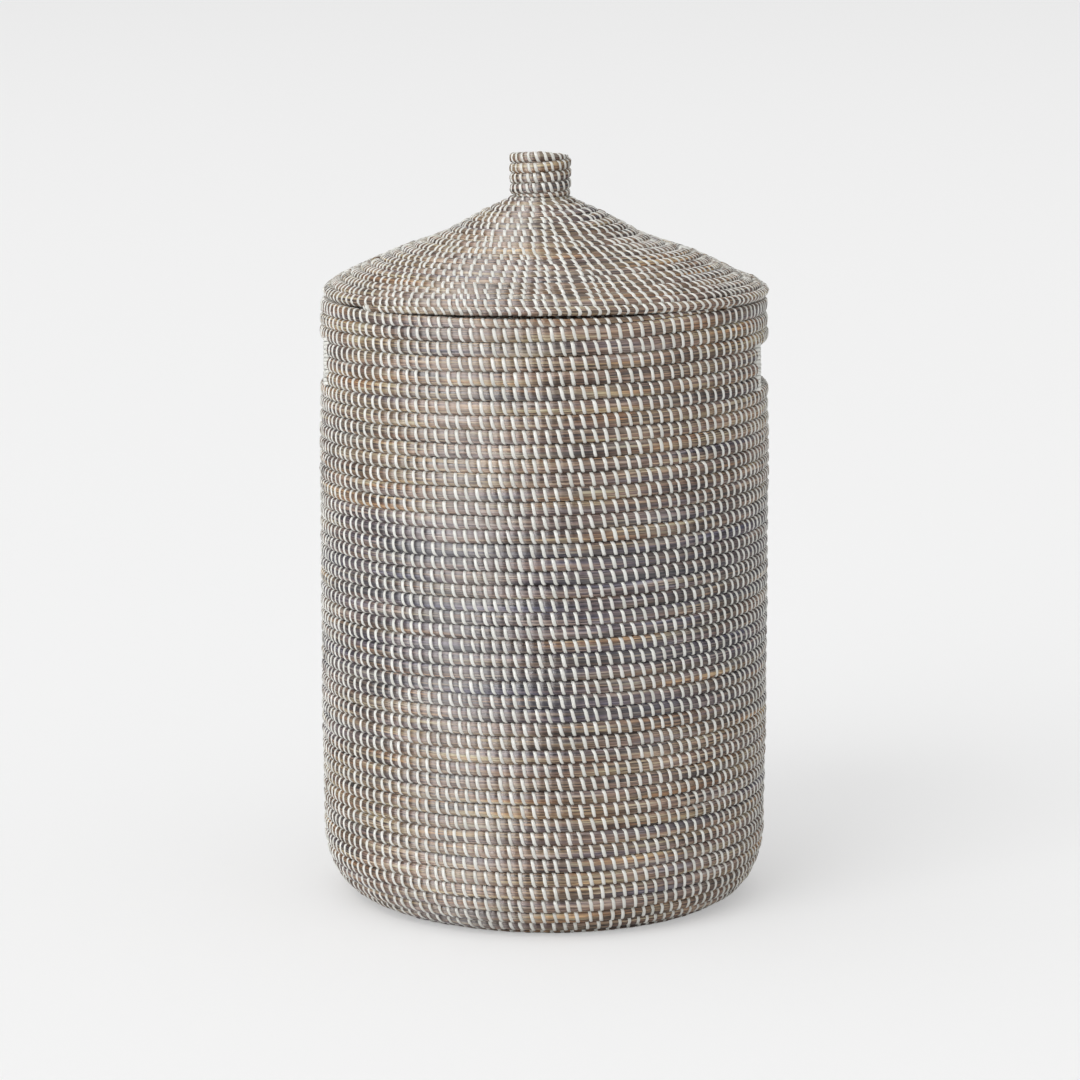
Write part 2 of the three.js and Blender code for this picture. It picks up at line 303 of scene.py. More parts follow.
class Shader(Nodes):
    """Short-hand for the nodes of one material."""

    def __init__(self, name: str) -> None:
        """Starts a material with its one surface shader.

        Args:
            name: Name of the material.
        """
        self.material = bpy.data.materials.new(name)
        self.material.use_nodes = True
        super().__init__(self.material.node_tree)
        self.surface = self.nodes["Principled BSDF"]

    def fill(self, inputs: dict[str, object]) -> Material:
        """Fills inputs of the surface shader.

        Args:
            inputs: What each gets, by name.

        Returns:
            The material.
        """
        for key, value in inputs.items():
            self.feed(self.surface.inputs[key], value)
        return self.material

    def fibre_noise(self, grain: Grain) -> Socket:
        """Makes noise drawn out along the rope.

        Args:
            grain: Its waves.

        Returns:
            The noise, about 0.5.
        """
        chart = self.node("ShaderNodeUVMap", {}, uv_map=FIBRE_MAP).outputs[0]
        inputs = {0: chart, 1: (grain.along, grain.around, 1.0)}
        stretched = self.node("ShaderNodeVectorMath", inputs, operation="MULTIPLY").outputs[0]
        inputs = {"Vector": stretched, "Scale": 1.0, "Detail": grain.detail, "Roughness": grain.roughness}
        return self.node("ShaderNodeTexNoise", inputs, noise_dimensions="2D").outputs[0]

    def blend(self, noises: Sequence[Socket], gains: Numbers, *rest: object, clamp: bool = True) -> Socket:
        """Adds noises up, each taken about zero and times its gain.

        Args:
            noises: The noises.
            gains: Gain of each.
            *rest: What else is added.
            clamp: Whether the sum is held between 0 and 1.

        Returns:
            The sum.
        """
        centred = [self.maths("SUBTRACT", noise, 0.5) for noise in noises]
        terms = [self.maths("MULTIPLY", noise, gain) for noise, gain in zip(centred, gains)]
        total, *others, last = *terms, *rest
        for term in others:
            total = self.maths("ADD", total, term)
        return self.maths("ADD", total, last, clamp)

    def ramp(self, factor: Socket, stops: Stops) -> Socket:
        """Colours a number.

        Args:
            factor: The number, from 0 to 1.
            stops: Places and colours in order.

        Returns:
            The colour.
        """
        made = self.node("ShaderNodeValToRGB", {0: factor})
        elements = made.color_ramp.elements
        for _ in range(len(stops) - 2):
            elements.new(0.5)
        for element, (place, colour) in zip(elements, stops):
            element.position = place
            element.color = (*colour, 1.0)
        return made.outputs[0]

    def mix(self, factor: object, first: Socket, second: Socket, blend: str = "MIX") -> Socket:
        """Mixes two colours, with a factor for the second one's share."""
        inputs = {0: factor, 6: first, 7: second}
        return self.node("ShaderNodeMix", inputs, data_type="RGBA", blend_type=blend).outputs[2]

    def height(self) -> Socket:
        """Height above the floor at rest."""
        place = self.node("ShaderNodeTexCoord", {}).outputs["Object"]
        return self.node("ShaderNodeSeparateXYZ", {0: place}).outputs[2]

    def bump(self, strength: float, depth: float, height: Socket) -> Socket:
        """Normal of a surface with fine relief on it."""
        inputs = {"Strength": strength, "Distance": depth, "Height": height}
        return self.node("ShaderNodeBump", inputs).outputs[0]


@dataclass(frozen=True)
class Seagrass:
    """Dry seagrass stalks: long streaks of brown, straw and grey violet along the rope."""

    name: str
    bands: Sequence[Pair]
    lowest: float
    highest: float
    gloss: float = 0.5
    roughness: float = 0.55
    relief: float = 0.6
    relief_depth: float = 0.9 * MM
    brushed: float = 0.9
    brushed_turn: float = 0.25
    stalk: Grain = Grain(12.0, 520.0, 2.0)
    bundle: Grain = Grain(7.0, 170.0)
    patch: Grain = Grain(9.0, 16.0)
    thread: Grain = Grain(24.0, 1100.0)
    region: Grain = Grain(4.0, 9.0)
    mottle: Grain = Grain(6.0, 90.0, 2.0)
    tinge: Grain = Grain(8.0, 140.0, 2.0)
    wide_tinge: Grain = Grain(5.0, 55.0)
    tone_gains: Numbers = (2.0, 0.9, 0.9)
    share_gains: Numbers = (2.0, 1.8)
    hue_gains: Numbers = (1.6, 1.8)
    rough_gains: Numbers = (0.3, 0.6)
    relief_gains: Numbers = (1.4, 0.5)
    warm: Stops = (
        (0.0, linear(54, 41, 33)),
        (0.25, linear(97, 77, 62)),
        (0.5, linear(131, 109, 90)),
        (0.75, linear(156, 136, 113)),
        (1.0, linear(185, 170, 145)),
    )
    cool: Stops = (
        (0.0, linear(39, 35, 42)),
        (0.25, linear(57, 53, 62)),
        (0.5, linear(80, 75, 83)),
        (0.75, linear(108, 100, 102)),
        (1.0, linear(148, 138, 132)),
    )
    tints: Stops = (
        (0.0, (0.86, 0.92, 1.18)),
        (0.28, (1.07, 0.96, 0.97)),
        (0.5, (1.0, 1.0, 1.0)),
        (0.68, (0.97, 1.03, 0.92)),
        (1.0, (1.2, 0.95, 0.71)),
    )
    # Thin dark lines along the rope: painted shade in the gaps between the stalks.
    lines: Stops = ((0.35, (0.34, 0.29, 0.27)), (0.47, (1.0, 1.0, 1.0)))

    def material(self) -> Material:
        """Builds the finish.

        Returns:
            The material.
        """
        shader = Shader(self.name)
        grains = (self.stalk, self.bundle, self.patch, self.thread)
        stalk, bundle, patch, thread = (shader.fibre_noise(grain) for grain in grains)
        grains = (self.region, self.mottle, self.tinge, self.wide_tinge)
        region, mottle, tinge, wide_tinge = (shader.fibre_noise(grain) for grain in grains)
        height = shader.maths("SUBTRACT", shader.height(), self.lowest)
        level = shader.maths("DIVIDE", height, self.highest - self.lowest, clamp=True)
        band = shader.ramp(level, [(place, (share, share, share)) for place, share in self.bands])
        tone = shader.blend((stalk, bundle, patch), self.tone_gains, 0.5)
        share = shader.blend((region, mottle), self.share_gains, band)
        hue = shader.blend((tinge, wide_tinge), self.hue_gains, 0.5)
        colour = shader.mix(share, shader.ramp(tone, self.warm), shader.ramp(tone, self.cool))
        colour = shader.mix(1.0, colour, shader.ramp(hue, self.tints), "MULTIPLY")
        # Darkens the colour along thin lines: painted shade in the gaps between the stalks.
        colour = shader.mix(1.0, colour, shader.ramp(thread, self.lines), "MULTIPLY")
        tangent = shader.node("ShaderNodeTangent", {}, direction_type="UV_MAP", uv_map=FIBRE_MAP)
        relief = shader.blend((stalk, thread), self.relief_gains, clamp=False)
        return shader.fill({
            "Base Color": colour,
            "Tangent": tangent.outputs[0],
            "Anisotropic": self.brushed,
            "Anisotropic Rotation": self.brushed_turn,
            "Roughness": shader.blend((bundle, stalk), self.rough_gains, self.roughness),
            "Specular IOR Level": self.gloss,
            "Normal": shader.bump(self.relief, self.relief_depth, relief),
        })


@dataclass(frozen=True)
class PlasticCord:
    """White plastic cord, slightly uneven in tone from stitch to stitch."""

    name: str
    pale: RGB = linear(225, 225, 220)
    dull: RGB = linear(198, 198, 191)
    paleness: float = 0.7
    roughness: float = 0.42
    gloss: float = 0.15
    relief: float = 0.25
    relief_depth: float = 0.3 * MM
    length: Grain = Grain(26.0, 30.0)
    strand: Grain = Grain(60.0, 1500.0)
    tone_gains: Numbers = (2.2, 0.5)
    rough_gain: float = 0.3

    def material(self) -> Material:
        """Builds the finish.

        Returns:
            The material.
        """
        shader = Shader(self.name)
        length, strand = (shader.fibre_noise(grain) for grain in (self.length, self.strand))
        tone = shader.blend((length, strand), self.tone_gains, self.paleness)
        return shader.fill({
            "Base Color": shader.ramp(tone, ((0.0, self.dull), (1.0, self.pale))),
            "Specular IOR Level": self.gloss,
            "Roughness": shader.blend((strand,), (self.rough_gain,), self.roughness, clamp=False),
            "Normal": shader.bump(self.relief, self.relief_depth, strand),
        })


@dataclass
class SeamLine:
    """The line of radius and height along which a coil's courses lie, drawn on where it has slack."""

    points: np.ndarray
    slack: Profile = Profile((0.0, 1.0), (0.0, 0.0))
    distance: np.ndarray = field(init=False)
    heading: np.ndarray = field(init=False)

    def __post_init__(self) -> None:
        """Measures the line and its direction at each point."""
        steps = np.linalg.norm(np.diff(self.points, axis=0), axis=1)
        self.distance = np.concatenate([[0.0], np.cumsum(steps)])
        self.heading = np.gradient(self.points, self.distance, axis=0)

    def at(self, distance: np.ndarray) -> tuple[np.ndarray, np.ndarray]:
        """Finds places on the line, which goes on straight past its ends.

        Args:
            distance: Distances along it.

        Returns:
            The points, and the directions of the line there.
        """
        distance = distance + self.slack.at(distance)
        held = np.clip(distance, 0.0, self.distance[-1])
        point, heading = (
            np.stack([np.interp(held, self.distance, line[:, k]) for k in (0, 1)], -1)
            for line in (self.points, self.heading)
        )
        heading /= np.linalg.norm(heading, axis=-1, keepdims=True)
        return point + (distance - held)[..., None] * heading, heading


@dataclass(frozen=True)
class Cord:
    """The flat white cord of the stitches, and how it goes round a rope.

    Attributes:
        drift: How far a stitch lies past the one on the course before.
        follow: How much of its spacing a stitch gives to lie by the one before.
        catch: How near that one has to be, as a share of the spacing.
        haste: How much of the way a stitch goes to lie there.
        echo: How much of the other's stray it takes over.
        proud: How much of the cord's half thickness stands out of the groove that it pulls.
        front: How far round to each side of a rope a loop bends closely, in degrees.
        front_bends: How often it bends there.
        rear_bends: Angles of its other bends, in degrees.
        girth: Length round the cord, for its width.
        knot_places: Places of a knot's turns before the rope's end, in steps.
    """

    width: float = 3.8 * MM
    thickness: float = 1.8 * MM
    spacing: float = 10.25 * MM
    slant: float = 3.4 * MM
    hook: float = 0.6 * MM
    drift: float = 0.6 * MM
    follow: float = 0.1
    catch: float = 0.45
    haste: float = 0.85
    echo: float = 0.4
    unevenness: float = 0.4 * MM
    stray: float = 0.9
    slant_stray: float = 0.13
    width_stray: float = 0.05
    lift_stray: float = 0.12 * MM
    proud: float = 0.62
    front: float = 104.0
    front_bends: int = 11
    rear_bends: Numbers = (140.0, 180.0, 220.0)
    girth: float = 2.4
    knot_step: float = 2.7 * MM
    knot_places: Numbers = (0.8, 1.9, 3.1, 1.9)
    knot_slants: Numbers = (0.4, 0.7, 1.0, 2.4)

    def section(self) -> tuple[np.ndarray, np.ndarray]:
        """Gives the corners of the cord's own section.

        Returns:
            Their places along the rope, and out from it.
        """
        across = np.array([0.5, 0.34, 0.0, -0.34, -0.5, 0.0]) * self.width
        out = np.array([0.0, 0.4, 0.52, 0.4, 0.0, -0.5]) * self.thickness
        return across, out

    def bends(self) -> np.ndarray:
        """Angles round the rope at which a loop bends, close in front and wide behind."""
        close = np.linspace(-self.front, self.front, self.front_bends)
        return np.radians(np.concatenate([close, self.rear_bends]))

    def chart(self, grid: np.ndarray, rng: np.random.Generator) -> tuple[np.ndarray, np.ndarray]:
        """Measures loops of cord for the fibre map.

        Args:
            grid: Points by loop, ring, corner and axis.
            rng: Gives each loop its own place on the map.

        Returns:
            Lengths along each loop, and round the cord.
        """
        middle = grid.mean(axis=2)
        steps = np.linalg.norm(np.roll(middle, -1, axis=1) - middle, axis=2)
        along = np.concatenate([np.zeros((len(grid), 1)), np.cumsum(steps, axis=1)], axis=1)
        around = np.linspace(0.0, self.girth * self.width, grid.shape[2] + 1)
        return along + rng.uniform(0.0, MAP_LENGTH, (len(grid), 1)), around


@dataclass
class Coil:
    """A rope wound course on course along a seam line, and stitched with cord.

    Attributes:
        side: The side of the seam line that the rope lies on, as a sign.
        middle: Distance of the rope's middle from the seam line.
        zero_at: Distance along the seam line at which turn 0 begins.
        least: Share of the rope's height that is left where it has tapered out.
        pinch: How far a stitch pulls the rope in.
        waves: Waves of the rope's wander for each turn, and their shares.
        wave_shift: How far apart the seed and the phase set the waves.
        free_turns: Turns before the end whose stitches don't follow the course before.
        spaced_at: Where stitches are spaced out, as a share of the way to the outer skin.
        clear: Least distance of a stitch from a cut in the rope, in turns.
        knot_clear: Distance of the last stitch from a tied end, in turns.
        map_step: How far the fibre map moves on for each turn.
    """

    seam: SeamLine
    side: float
    pitch: float
    half_height: float
    half_depth: float
    middle: float
    zero_at: float
    start_turn: float
    end_turn: float
    end_taper: float
    cord: Cord
    seed: int
    warp: Warp
    way: Way = Way.ANTICLOCKWISE
    start_taper: float = 0.0
    least: float = 0.19
    squareness: float = 0.75
    corners: int = 18
    pinch: float = 1.25 * MM
    lumps: float = 0.22 * MM
    wander: float = 0.45 * MM
    waves: Sequence[Pair] = ((2.3, 0.4), (5.9, 0.3), (13.1, 0.3), (27.7, 0.22))
    wave_shift: float = 1.7
    first_stitch: float = 0.02
    free_turns: float = 0.0
    spaced_at: float = 0.8
    clear: float = 1e-4
    knot_clear: float = 0.015
    map_step: float = 7.3
    loop_seed: int = 31

    def fullness(self, turn: np.ndarray) -> tuple[np.ndarray, np.ndarray]:
        """Finds how full the rope is where it tapers.

        Args:
            turn: Places along the coil, in turns.

        Returns:
            Its share of the full height, and the way its middle moves: down at its end, up at its start.
        """
        end = np.clip((self.end_turn - turn) / self.end_taper, 0.0, 1.0)
        end = self.least + (1.0 - self.least) * end
        start = np.ones_like(end)
        if self.start_taper:
            start = np.clip((turn - self.start_turn) / self.start_taper, 0.0, 1.0)
            start = self.least + (1.0 - self.least) * start
        return np.minimum(end, start), np.where(end < start, -1.0, 1.0)

    def sway(self, turn: np.ndarray, phase: float) -> np.ndarray:
        """Finds the hand-made rope's slow wander about its line.

        Args:
            turn: Places along the coil, in turns.
            phase: Keeps one direction's wander apart from another's.

        Returns:
            The wander there.
        """
        shift = self.wave_shift * (phase + self.seed)
        waves = (share * np.sin(TURN * rate * turn + shift * rate) for rate, share in self.waves)
        return self.wander * sum(waves)

    def place(self, turn: np.ndarray, up: np.ndarray, out: np.ndarray, arc: np.ndarray) -> np.ndarray:
        """Turns places on the rope into points.

        Args:
            turn: Places along the coil, in turns.
            up: Distances from the course's line towards the next course.
            out: Distances out from the seam line.
            arc: Distances along the rope.

        Returns:
            The points.
        """
        up = up + 0.5 * self.sway(turn, phase=0.0)
        out = out + self.sway(turn, phase=3.1)
        point, heading = self.seam.at(self.zero_at + self.pitch * turn + up)
        radius = point[..., 0] + out * self.side * heading[..., 1]
        height = point[..., 1] - out * self.side * heading[..., 0]
        angle = self.way.value * (TURN * turn + arc / np.maximum(radius, 2.0 * self.half_height))
        return self.warp(np.stack([radius * np.cos(angle), radius * np.sin(angle), height], -1))

    def skin(self, turn: np.ndarray, around: np.ndarray, lift: np.ndarray, arc: np.ndarray) -> np.ndarray:
        """Finds points on the rope's skin.

        Args:
            turn: Places along the coil, in turns.
            around: Angles round the rope, from outside towards the next course.
            lift: Heights above the skin.
            arc: Distances along the rope.

        Returns:
            The points.
        """
        full, way = self.fullness(turn)
        rise, reach = squared(around, self.squareness)
        up = way * (1.0 - full) * self.half_height + (full * self.half_height + lift) * rise
        out = self.middle + (np.sqrt(full) * self.half_depth + lift) * reach
        return self.place(turn, up, out, arc)

    def slanted(self, around: np.ndarray) -> np.ndarray:
        """How far a stitch shifts along the rope at each angle round it: back towards the next course."""
        back = -np.sin(around)
        return 0.5 * self.cord.slant * back + self.cord.hook * np.maximum(back, 0.0) ** 2

    def radius_at(self, turn: float) -> float:
        """Radius at which stitches are spaced out, at a place along the coil."""
        point, heading = self.seam.at(np.array([self.zero_at + self.pitch * turn]))
        return float(point[0, 0] + (self.middle + self.spaced_at * self.half_depth) * abs(heading[0, 1]))

    @cached_property
    def stitches(self) -> np.ndarray:
        """Sets the stitches out, each near the one on the course before.

        Returns:
            Their places along the coil, in turns.
        """
        rng = np.random.default_rng(self.seed)
        cord = self.cord
        ideal = [self.start_turn + self.first_stitch]
        stray = [0.0]
        below = 0
        while True:
            last = ideal[-1]
            course = TURN * max(self.radius_at(last), 2.0 * self.half_height)
            step = cord.spacing / course
            drift = cord.drift / course
            while below < len(ideal) and ideal[below] + 1.0 + drift < last + (1.0 - cord.catch) * step:
                below += 1
            following = last + step
            pull = 0.0
            tied = last <= self.end_turn - self.free_turns and below < len(ideal) - 1
            if tied and ideal[below] + 1.0 + drift < last + (1.0 + cord.catch) * step:
                give = cord.follow * step
                following += min(max(cord.haste * (ideal[below] + 1.0 + drift - following), -give), give)
                pull = cord.echo * stray[below]
            if following > self.end_turn:
                return np.array(ideal) + np.array(stray)
            ideal.append(following)
            stray.append(pull + rng.normal(0.0, cord.stray) * cord.unevenness / course)

    def between(self, start: float, end: float) -> np.ndarray:
        """Stitches on one length of the coil."""
        return self.stitches[(self.stitches > start) & (self.stitches < end)]

    def rope(self, name: str, start: float, end: float) -> Mesh:
        """Makes a length of the rope, pulled in under each stitch.

        Args:
            name: Name of the mesh.
            start: Where the length begins, in turns.
            end: Where it stops, in turns.

        Returns:
            The mesh.
        """
        rng = np.random.default_rng(self.seed + len(name))
        marks = np.concatenate([[start], self.between(start + self.clear, end - self.clear), [end]])
        quarters = np.array([0.0, 0.25, 0.5, 0.75])
        pulled = [1.0, 0.1, 0.0, 0.1]
        turn = (marks[:-1, None] + np.diff(marks)[:, None] * quarters).ravel()
        turn = np.append(turn, end)[:, None]
        pull = np.append(np.tile(pulled, len(marks) - 1), pulled[0])[:, None]
        around = np.linspace(0.0, TURN, self.corners, endpoint=False)[None, :]
        weights = (0.25, 0.5, 0.6, 0.5, 0.25)
        rough = rng.normal(0.0, 1.0, (len(turn) + len(weights) - 1, self.corners))
        lump = sum(weight * rough[k : k + len(turn)] for k, weight in enumerate(weights))
        lift = self.lumps * lump - self.pinch * pull
        grid = self.skin(turn, around, lift, self.slanted(around) * np.ones_like(turn))
        middle = grid.mean(axis=1)
        along = np.concatenate([[0.0], np.cumsum(np.linalg.norm(np.diff(middle, axis=0), axis=1))])
        along = along[None] + self.map_step * start + self.seed
        girth = np.linspace(0.0, TURN * 0.5 * (self.half_height + self.half_depth), self.corners + 1)
        return tube_mesh(name, grid[None], along, girth, closed=False)

    def loops(self, name: str, turns: np.ndarray, slants: np.ndarray | None = None) -> Mesh:
        """Makes the stitches that go round the rope.

        Args:
            name: Name of the mesh.
            turns: Their places along the coil, in turns.
            slants: Slant of each, as a share of the usual one.

        Returns:
            The mesh.
        """
        rng = np.random.default_rng(self.seed + self.loop_seed)
        cord = self.cord
        around = cord.bends()
        across, out = cord.section()
        if slants is None:
            slants = rng.normal(1.0, cord.slant_stray, len(turns))
        size = rng.normal(1.0, cord.width_stray, len(turns))
        lift = -self.pinch + 0.5 * cord.thickness * cord.proud + rng.normal(0.0, cord.lift_stray, len(turns))
        arc = slants[:, None, None] * self.slanted(around)[None, :, None] + size[:, None, None] * across
        grid = self.skin(turns[:, None, None], around[None, :, None], lift[:, None, None] + out, arc)
        return tube_mesh(name, grid, *cord.chart(grid, rng), closed=True)

    def knot(self, name: str) -> Mesh:
        """Makes the close turns of cord that tie the rope's end down.

        Args:
            name: Name of the mesh.

        Returns:
            The mesh.
        """
        apart = self.cord.knot_step / (TURN * self.radius_at(self.end_turn))
        places = self.end_turn - apart * np.array(self.cord.knot_places)
        return self.loops(name, places, np.array(self.cord.knot_slants))


@dataclass
class Dressed:
    """One body of the hamper, with the finishes of its rope and cord."""

    rope: Material
    cord: Material
    body: ClassVar[Body]
    rope_slot: ClassVar[Slot]

    def add_rope(self, coil: Coil, name: str, start: float, end: float, node: str) -> None:
        """Adds a length of rope that stands for a CAD node."""
        piece(coil.rope(name, start, end), self.body, self.rope, (node,))

    def add_cord(self, mesh: Mesh, nodes: Sequence[str] = ()) -> None:
        """Adds turns of cord."""
        piece(mesh, self.body, self.cord, nodes)

    def add_length(
        self, coil: Coil, name: str, span: Pair, node: str, band: str = "", clear: float = 0.0
    ) -> None:
        """Adds a length of a coil, its rope and its stitches.

        Args:
            coil: The coil.
            name: First word in the names of the two pieces.
            span: Where the length begins and stops, in turns.
            node: CAD node that the rope stands for.
            band: Last word in the names.
            clear: How far before its end the stitches stop, in turns.
        """
        start, end = span
        self.add_rope(coil, f"{name}_rope{band}", start, end, node)
        self.add_cord(coil.loops(f"{name}_stitches{band}", coil.between(start, end - clear)))

    def add_whole(self, coil: Coil, name: str, node: str) -> None:
        """Adds the whole of a coil, its rope and its stitches."""
        self.add_rope(coil, f"{name}_rope", coil.start_turn, coil.end_turn, node)
        self.add_cord(coil.loops(f"{name}_stitches", coil.stitches))


@dataclass
class Basket(Dressed):
    """The base, the wall, the courses beside the hand-holes, the rim and the bound edges."""

    body: ClassVar[Body] = Body.BASKET
    rope_slot: ClassVar[Slot] = Slot.BASKET_ROPE
    radius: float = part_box("wall_coil")[1][0]
    rim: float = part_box("rim_coil")[1][2]
    crest: float = 11.0 * MM
    base_height: float = 9.6 * MM
    corner_reach: float = 39.0 * MM
    corner_rise: float = 70.0 * MM
    pitch: float = 13.4 * MM
    half_height: float = 6.9 * MM
    half_depth: float = 6.9 * MM
    middle: float = 3.5 * MM
    start_turn: float = -0.7
    end_turn: float = 57.911
    last_rise: float = 0.85 * MM
    taper: float = 0.66
    least: float = 0.36
    base_turns: float = 12.1
    first_cut: float = 52.0
    cuts: int = 6
    hole_half: float = 0.04694
    wall_bands: int = 5
    tilt: float = 0.012
    tilt_shares: Profile = Profile(
        (0.0, 0.1, 0.2, 0.4, 0.66, 0.86, 0.96, 0.988, 1.0),
        (0.0, -0.1, -0.1, 0.2, 0.8, 1.0, 0.9, 1.9, 0.5),
    )
    row_shifts: Profile = Profile(
        (0.0, 0.08, 0.2, 0.42, 0.55, 0.63, 0.75, 0.83, 0.9, 0.96, 0.988, 1.0),
        (0.0, -1.0, -1.4, -1.3, -1.8, -3.2, -2.9, -1.8, -1.0, 0.6, 1.1, 2.0),
    )
    swell: float = 1.5 * MM
    swell_shares: Profile = Profile((0.0, 0.12, 0.3, 0.75, 0.9, 1.0), (0.0, 0.0, 1.0, 1.0, 0.0, 0.0))
    upper_from: float = 0.9
    upper_span: float = 0.09
    shoulder_lift: float = 2.3 * MM
    shoulder: Sector = Sector(-32.0, 44.0)
    left_lift: float = 0.8 * MM
    left: Sector = Sector(-155.0, 45.0)
    heel_lift: float = 3.2 * MM
    heel_from: float = 0.62
    heel_span: float = 0.3
    heel_height: float = 110.0 * MM
    heel_gain: float = 1.4
    narrow: float = 1.6 * MM
    binding_half: float = 6.4 * MM
    binding_wrap: float = 0.9 * MM
    binding_shift: float = 4.2 * MM
    binding_ends: float = 2.0 * MM
    binding_overrun: float = 0.4 * MM
    binding_packing: float = 0.93
    binding_climb: float = 0.5 * MM
    binding_squareness: float = 0.85
    binding_stray: float = 0.15 * MM
    coil: Coil = field(init=False)

    def __post_init__(self) -> None:
        """Lays out the coil."""
        wall = self.radius - self.crest
        flat = wall - self.corner_reach
        radii = (self.corner_reach, self.corner_rise - self.base_height)
        points = np.concatenate([
            straight((0.0, self.base_height), (flat, self.base_height)),
            bend((flat, self.corner_rise), radii, -90.0, 0.0),
            straight((wall, self.corner_rise), (wall, self.rim + self.pitch)),
        ])
        seam = SeamLine(points)
        full_turn = self.end_turn - self.taper
        full_at = seam.distance[-1] - 1.5 * self.pitch + self.last_rise
        self.coil = Coil(
            seam=seam,
            side=1.0,
            pitch=self.pitch,
            half_height=self.half_height,
            half_depth=self.half_depth,
            middle=self.middle,
            zero_at=full_at - self.pitch * full_turn,
            start_turn=self.start_turn,
            end_turn=self.end_turn,
            end_taper=self.taper,
            least=self.least,
            cord=Cord(),
            seed=3,
            warp=self.settle,
        )

    def settle(self, points: np.ndarray) -> np.ndarray:
        """Tilts, sags and swells the courses as on the real basket, and rests the base on the floor.

        Args:
            points: Points as coiled.

        Returns:
            Points as they lie.
        """
        x, y, height = (points[..., k] for k in range(3))
        lift = self.tilt * x * self.tilt_shares.at(height, self.rim, 1.0)
        lift = lift + self.row_shifts.at(height, self.rim)
        upper = np.clip((height - self.upper_from * self.rim) / (self.upper_span * self.rim), 0.0, 1.0)
        lift = lift + self.shoulder_lift * upper * self.shoulder.share(points)
        lift = lift + self.left_lift * upper * self.left.share(points)
        heel = np.clip(np.hypot(x, y) / self.radius - self.heel_from, 0.0, self.heel_span) / self.heel_span
        heel = heel * np.clip(1.0 - height / self.heel_height, 0.0, 1.0)
        lift = lift + self.heel_lift * heel * np.clip(-self.heel_gain * x / self.radius, 0.0, 1.0)
        wider = 1.0 + self.swell / self.radius * self.swell_shares.at(height, self.rim, 1.0)
        side = self.narrow * np.clip(x / self.radius, 0.0, 1.0) * last_tenth(height / self.rim)
        return np.stack([x * wider - side, y * wider, np.maximum(height + lift, 0.0)], -1)

    def build(self) -> None:
        """Makes every piece of the basket."""
        self.build_wall()
        self.build_hole_courses()
        self.build_rim()
        self.build_bindings()

    def build_wall(self) -> None:
        """Makes the base and the wall up to the hand-holes."""
        self.add_length(self.coil, "base", (self.start_turn, self.base_turns), "base_coil")
        edges = np.linspace(self.base_turns, self.first_cut - self.hole_half, self.wall_bands + 1)
        for band, span in enumerate(zip(edges, edges[1:]), 1):
            self.add_length(self.coil, "wall", span, "wall_coil", f"_{band}")

    def build_hole_courses(self) -> None:
        """Makes the lengths between the hand-holes."""
        taken = []
        for cut in range(self.cuts - 1):
            start = self.first_cut + 0.5 * cut + self.hole_half
            end = self.first_cut + 0.5 * (cut + 1) - self.hole_half
            where = f"{'front' if cut % 2 else 'rear'}_course_{cut // 2 + 1}"
            self.add_rope(self.coil, f"{where}_rope", start, end, where)
            taken.append(self.coil.between(start, end))
        self.add_cord(self.coil.loops("course_stitches", np.concatenate(taken)))

    def build_rim(self) -> None:
        """Makes the courses above the hand-holes, with the tied end."""
        start = self.first_cut + 0.5 * (self.cuts - 1) + self.hole_half
        self.add_length(self.coil, "rim", (start, self.end_turn), "rim_coil", clear=self.coil.knot_clear)
        self.add_cord(self.coil.knot("rim_knot"))

    def build_bindings(self) -> None:
        """Makes the closely wound edges of the hand-holes."""
        for name in ("right_rear_binding", "right_front_binding", "left_front_binding", "left_rear_binding"):
            self.add_cord(self.binding(name), (name,))

    def binding(self, node: str) -> Mesh:
        """Winds cord round one upright edge.

        Args:
            node: The CAD node that it stands for.

        Returns:
            The mesh.
        """
        rng = np.random.default_rng(len(node))
        cord = self.coil.cord
        low, high = (np.array(corner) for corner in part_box(node))
        centre = 0.5 * (low + high)
        out = centre * np.array([1.0, 1.0, 0.0])
        out /= np.linalg.norm(out)
        side = np.cross(UP, out)
        aside = side @ centre + self.binding_shift * np.sign(centre[0] * centre[1])
        ahead = math.sqrt((self.radius - self.crest + self.middle) ** 2 - aside**2)
        count = round((high[2] - low[2] + self.binding_ends) / (self.binding_packing * cord.width))
        stray = self.binding_stray
        levels = np.linspace(low[2] - self.binding_overrun, high[2] + self.binding_overrun, count)
        levels = levels + rng.normal(0.0, stray, count)
        across, proud = cord.section()
        wide = self.binding_half + proud + rng.normal(0.0, stray, (count, 1, 1))
        deep = self.half_depth + self.binding_wrap + proud + rng.normal(0.0, stray, (count, 1, 1))
        angle = np.linspace(0.0, TURN, self.coil.corners, endpoint=False)[None, :, None]
        sine, cosine = squared(angle, self.binding_squareness)
        height = levels[:, None, None] + across + self.binding_climb * np.sin(angle)
        grid = (
            (ahead + deep * cosine)[..., None] * out
            + (aside + wide * sine)[..., None] * side
            + height[..., None] * UP
        )
        return tube_mesh(f"{node}_cord", self.settle(grid), *cord.chart(grid, rng), closed=True)


